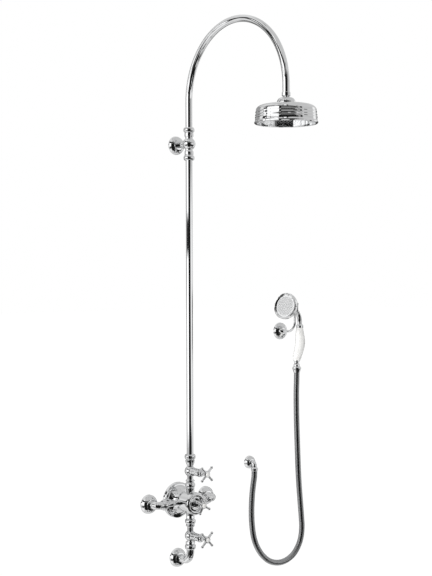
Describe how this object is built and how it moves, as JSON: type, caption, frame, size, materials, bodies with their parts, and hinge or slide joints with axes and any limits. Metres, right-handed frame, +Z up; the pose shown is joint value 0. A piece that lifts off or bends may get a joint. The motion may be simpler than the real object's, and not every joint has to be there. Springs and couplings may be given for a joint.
{
  "type": "rainfall shower column",
  "caption": "Exposed thermostatic shower column for a wall, with a tall arched arm, a round rain rose, cross handles, and a hose with a hand shower on a fork.",
  "frame": {"origin": "on the wall plane, behind the centre of the thermostatic valve", "axes": "+Z up, +X to the right as seen from the room, +Y into the wall; the room is on the -Y side"},
  "size_m": [0.675, 0.635, 1.8459],
  "materials": {
    "chrome": "polished",
    "spray_chrome": "satin",
    "hose_chrome": "polished spiral strip",
    "porcelain": "glossy glaze",
    "disc_ceramic": "lapped",
    "brass": "machined",
    "steel": "plain",
    "valve_plastic": "moulded",
    "seal_rubber": "matte"
  },
  "bodies": {
    "wall_set": {"wall_bell": "chrome", "thermostat_body": "chrome", "thermostat_bezel": "chrome", "temperature_scale": "chrome", "thermostatic_cartridge": "brass", "hot_wall_elbow": "chrome", "cold_wall_elbow": "chrome", "inlet_covers": "chrome", "inlet_union_nuts": "chrome", "hot_inlet_arm": "chrome", "cold_inlet_arm": "chrome", "check_valves": "valve_plastic", "upper_stopcock_body": "chrome", "upper_bonnet": "chrome", "lower_stopcock_body": "chrome", "lower_bonnet": "chrome", "fixed_ceramic_discs": "disc_ceramic", "riser_nut": "chrome", "riser_tube": "chrome", "bracket_body": "chrome", "bracket_nuts": "chrome", "bracket_cover": "chrome", "wall_plates": "steel", "swan_neck": "chrome", "swivel_ball": "chrome", "outlet_union_nut": "chrome", "outlet_bend": "chrome", "outlet_cover": "chrome", "seals": "seal_rubber", "hook_cover": "chrome", "hook_arm": "chrome", "hose": "hose_chrome", "hose_outlet_nut": "chrome", "hose_wall_elbow": "chrome", "hose_cover": "chrome"},
    "temperature_control": {"thermostat_handle": "chrome", "thermostat_handle_button": "porcelain", "thermostat_spindle": "brass"},
    "mixing_core": {"thermostat_shuttle": "valve_plastic", "return_spring": "steel"},
    "rose_control": {"upper_handle": "chrome", "upper_handle_button": "porcelain", "upper_spindle": "brass", "upper_moving_disc": "disc_ceramic"},
    "hand_shower_control": {"lower_handle": "chrome", "lower_handle_button": "porcelain", "lower_spindle": "brass", "lower_moving_disc": "disc_ceramic"},
    "swivel_ring": {"swivel_seat": "valve_plastic"},
    "rain_rose": {"swivel_nut": "chrome", "rose_shell": "chrome", "rose_face_plate": "spray_chrome", "rose_lip_ring": "chrome"},
    "hand_shower": {"handset_head": "chrome", "handset_face": "spray_chrome", "handset_neck": "chrome", "handset_grip": "porcelain", "handset_ferrule": "chrome", "hose_handset_nut": "chrome"}
  },
  "joints": [
    {"name": "temperature_turn", "type": "hinge", "parent": "wall_set", "child": "temperature_control", "pos_m": [0, -0.135, 0], "axis": [0, -1, 0], "range_deg": [-110, 110]},
    {"name": "shuttle_slide", "type": "slide", "parent": "wall_set", "child": "mixing_core", "axis": [0, -1, 0], "range_m": [-0.00032, 0.00032]},
    {"name": "rose_flow_turn", "type": "hinge", "parent": "wall_set", "child": "rose_control", "pos_m": [0, -0.162, 0.1045], "axis": [0, -1, 0], "range_deg": [0, 90]},
    {"name": "hand_shower_flow_turn", "type": "hinge", "parent": "wall_set", "child": "hand_shower_control", "pos_m": [0, -0.162, -0.1085], "axis": [0, -1, 0], "range_deg": [0, 90]},
    {"name": "rose_tilt_side", "type": "hinge", "parent": "wall_set", "child": "swivel_ring", "pos_m": [0, -0.539, 1.273], "axis": [0, 1, 0], "range_deg": [-12, 12]},
    {"name": "rose_tilt_front", "type": "hinge", "parent": "swivel_ring", "child": "rain_rose", "pos_m": [0, -0.539, 1.273], "axis": [1, 0, 0], "range_deg": [-12, 12]},
    {"name": "hand_shower_lift", "type": "slide", "parent": "wall_set", "child": "hand_shower", "axis": [0, 0, 1], "range_m": [0, 0.045]}
  ],
  "couplings": [
    {"joint": "shuttle_slide", "follows": "temperature_turn", "m_per_rad": 0.000159}
  ]
}
